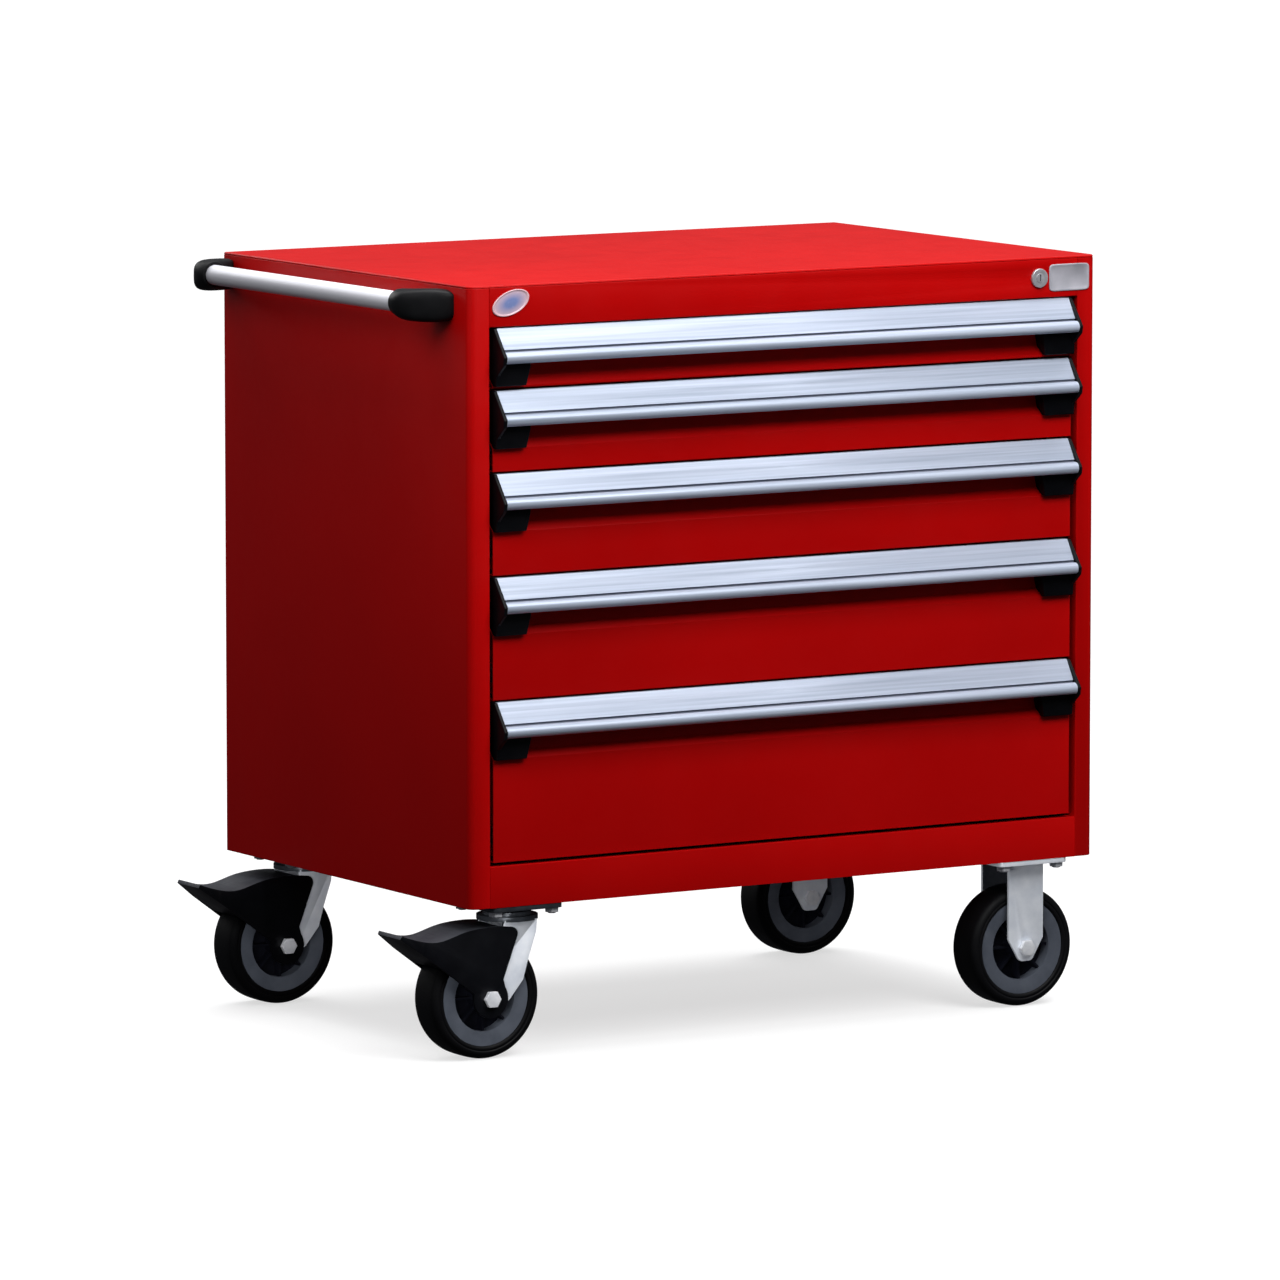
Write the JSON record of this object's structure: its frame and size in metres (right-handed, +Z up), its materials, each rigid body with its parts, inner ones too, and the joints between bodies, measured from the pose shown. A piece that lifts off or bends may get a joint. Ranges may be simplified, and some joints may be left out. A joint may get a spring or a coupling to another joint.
{
  "type": "rolling tool chest",
  "caption": "Rolling tool cabinet: red sheet-steel housing, full-width drawers with aluminium handles, keyed lock, side push handle, rigid and braked swivel casters.",
  "frame": {"origin": "on the floor, under the centre of the housing's plan", "axes": "+X to the right seen from the drawer side, +Y to the back, +Z up; the drawers open towards -Y"},
  "size_m": [0.9997, 0.634, 0.9525],
  "materials": {
    "housing_paint": "satin powder coat",
    "drawer_paint": "satin powder coat",
    "handle_aluminium": "clear anodised, brushed lengthways",
    "tube_aluminium": "clear anodised",
    "cap_plastic": "moulded nylon",
    "bracket_plastic": "moulded nylon",
    "pedal_plastic": "moulded nylon",
    "tyre": "solid rubber",
    "wheel_core": "moulded grey core",
    "slide_steel": "zinc plated",
    "zinc_steel": "bright zinc plated",
    "bolt_steel": "zinc plated",
    "lock_chrome": "polished",
    "badge_plastic": "gloss",
    "label_plastic": "satin"
  },
  "bodies": {
    "housing": {"back_panel": "housing_paint", "badge_plate": "badge_plastic", "base_pan": "housing_paint", "caster_mount_bolts": "bolt_steel", "front_top_rail": "housing_paint", "label_plate": "label_plastic", "lock_bar_guides": "zinc_steel", "lock_cylinder": "lock_chrome", "push_handle_bracket_front": "bracket_plastic", "push_handle_bracket_rear": "bracket_plastic", "push_handle_tube": "tube_aluminium", "rigid_axle_bolts": "bolt_steel", "rigid_caster_brackets": "zinc_steel", "side_panel_left": "housing_paint", "side_panel_right": "housing_paint", "slide_outer_members": "slide_steel", "slide_uprights": "slide_steel", "swivel_caster_plates": "zinc_steel", "top_panel": "housing_paint"},
    "lock_plug": {"lock_plug": "lock_chrome"},
    "lock_bar": {"lock_bar": "zinc_steel"},
    "drawer_1": {"drawer_1_tray": "drawer_paint", "drawer_1_handle": "handle_aluminium", "drawer_1_handle_caps": "cap_plastic", "drawer_1_slide_inner": "slide_steel"},
    "slide_1": {"drawer_1_slide_middle": "slide_steel"},
    "drawer_2": {"drawer_2_tray": "drawer_paint", "drawer_2_handle": "handle_aluminium", "drawer_2_handle_caps": "cap_plastic", "drawer_2_slide_inner": "slide_steel"},
    "slide_2": {"drawer_2_slide_middle": "slide_steel"},
    "drawer_3": {"drawer_3_tray": "drawer_paint", "drawer_3_handle": "handle_aluminium", "drawer_3_handle_caps": "cap_plastic", "drawer_3_slide_inner": "slide_steel"},
    "slide_3": {"drawer_3_slide_middle": "slide_steel"},
    "drawer_4": {"drawer_4_tray": "drawer_paint", "drawer_4_handle": "handle_aluminium", "drawer_4_handle_caps": "cap_plastic", "drawer_4_slide_inner": "slide_steel"},
    "slide_4": {"drawer_4_slide_middle": "slide_steel"},
    "drawer_5": {"drawer_5_tray": "drawer_paint", "drawer_5_handle": "handle_aluminium", "drawer_5_handle_caps": "cap_plastic", "drawer_5_slide_inner": "slide_steel"},
    "slide_5": {"drawer_5_slide_middle": "slide_steel"},
    "front_swivel": {"front_swivel_fork": "zinc_steel", "front_swivel_axle_bolt": "bolt_steel"},
    "front_pedal": {"front_brake_pedal": "pedal_plastic"},
    "front_left_wheel": {"front_left_tyre": "tyre", "front_left_wheel_core": "wheel_core"},
    "front_right_wheel": {"front_right_tyre": "tyre", "front_right_wheel_core": "wheel_core"},
    "rear_swivel": {"rear_swivel_fork": "zinc_steel", "rear_swivel_axle_bolt": "bolt_steel"},
    "rear_pedal": {"rear_brake_pedal": "pedal_plastic"},
    "rear_left_wheel": {"rear_left_tyre": "tyre", "rear_left_wheel_core": "wheel_core"},
    "rear_right_wheel": {"rear_right_tyre": "tyre", "rear_right_wheel_core": "wheel_core"}
  },
  "joints": [
    {"name": "drawer_1_travel", "type": "slide", "parent": "housing", "child": "drawer_1", "axis": [0, -1, 0], "range_m": [0, 0.53]},
    {"name": "slide_1_travel", "type": "slide", "parent": "housing", "child": "slide_1", "axis": [0, -1, 0], "range_m": [0, 0.265]},
    {"name": "drawer_2_travel", "type": "slide", "parent": "housing", "child": "drawer_2", "axis": [0, -1, 0], "range_m": [0, 0.53]},
    {"name": "slide_2_travel", "type": "slide", "parent": "housing", "child": "slide_2", "axis": [0, -1, 0], "range_m": [0, 0.265]},
    {"name": "drawer_3_travel", "type": "slide", "parent": "housing", "child": "drawer_3", "axis": [0, -1, 0], "range_m": [0, 0.53]},
    {"name": "slide_3_travel", "type": "slide", "parent": "housing", "child": "slide_3", "axis": [0, -1, 0], "range_m": [0, 0.265]},
    {"name": "drawer_4_travel", "type": "slide", "parent": "housing", "child": "drawer_4", "axis": [0, -1, 0], "range_m": [0, 0.53]},
    {"name": "slide_4_travel", "type": "slide", "parent": "housing", "child": "slide_4", "axis": [0, -1, 0], "range_m": [0, 0.265]},
    {"name": "drawer_5_travel", "type": "slide", "parent": "housing", "child": "drawer_5", "axis": [0, -1, 0], "range_m": [0, 0.53]},
    {"name": "slide_5_travel", "type": "slide", "parent": "housing", "child": "slide_5", "axis": [0, -1, 0], "range_m": [0, 0.265]},
    {"name": "lock_turn", "type": "hinge", "parent": "housing", "child": "lock_plug", "pos_m": [0.3707, 0, 0.9266], "axis": [0, 1, 0], "range_deg": [0, 90]},
    {"name": "lock_bar_lift", "type": "slide", "parent": "housing", "child": "lock_bar", "axis": [0, 0, 1], "range_m": [0, 0.0127]},
    {"name": "front_swivel_turn", "type": "hinge", "parent": "housing", "child": "front_swivel", "pos_m": [-0.375, -0.253, 0.17], "axis": [0, 0, 1], "continuous": true},
    {"name": "front_left_wheel_spin", "type": "hinge", "parent": "front_swivel", "child": "front_left_wheel", "pos_m": [-0.419, -0.253, 0.0762], "axis": [0, 1, 0], "continuous": true},
    {"name": "front_right_wheel_spin", "type": "hinge", "parent": "housing", "child": "front_right_wheel", "pos_m": [0.369, -0.253, 0.0762], "axis": [0, 1, 0], "continuous": true},
    {"name": "front_brake_press", "type": "hinge", "parent": "front_swivel", "child": "front_pedal", "pos_m": [-0.419, -0.253, 0.0762], "axis": [0, -1, 0], "range_deg": [0, 10]},
    {"name": "rear_swivel_turn", "type": "hinge", "parent": "housing", "child": "rear_swivel", "pos_m": [-0.375, 0.253, 0.17], "axis": [0, 0, 1], "continuous": true},
    {"name": "rear_left_wheel_spin", "type": "hinge", "parent": "rear_swivel", "child": "rear_left_wheel", "pos_m": [-0.419, 0.253, 0.0762], "axis": [0, 1, 0], "continuous": true},
    {"name": "rear_right_wheel_spin", "type": "hinge", "parent": "housing", "child": "rear_right_wheel", "pos_m": [0.369, 0.253, 0.0762], "axis": [0, 1, 0], "continuous": true},
    {"name": "rear_brake_press", "type": "hinge", "parent": "rear_swivel", "child": "rear_pedal", "pos_m": [-0.419, 0.253, 0.0762], "axis": [0, -1, 0], "range_deg": [0, 10]}
  ],
  "couplings": [
    {"joint": "slide_1_travel", "follows": "drawer_1_travel", "ratio": 0.5},
    {"joint": "slide_2_travel", "follows": "drawer_2_travel", "ratio": 0.5},
    {"joint": "slide_3_travel", "follows": "drawer_3_travel", "ratio": 0.5},
    {"joint": "slide_4_travel", "follows": "drawer_4_travel", "ratio": 0.5},
    {"joint": "slide_5_travel", "follows": "drawer_5_travel", "ratio": 0.5},
    {"joint": "lock_turn", "follows": "lock_bar_lift", "rad_per_m": 123.68}
  ]
}
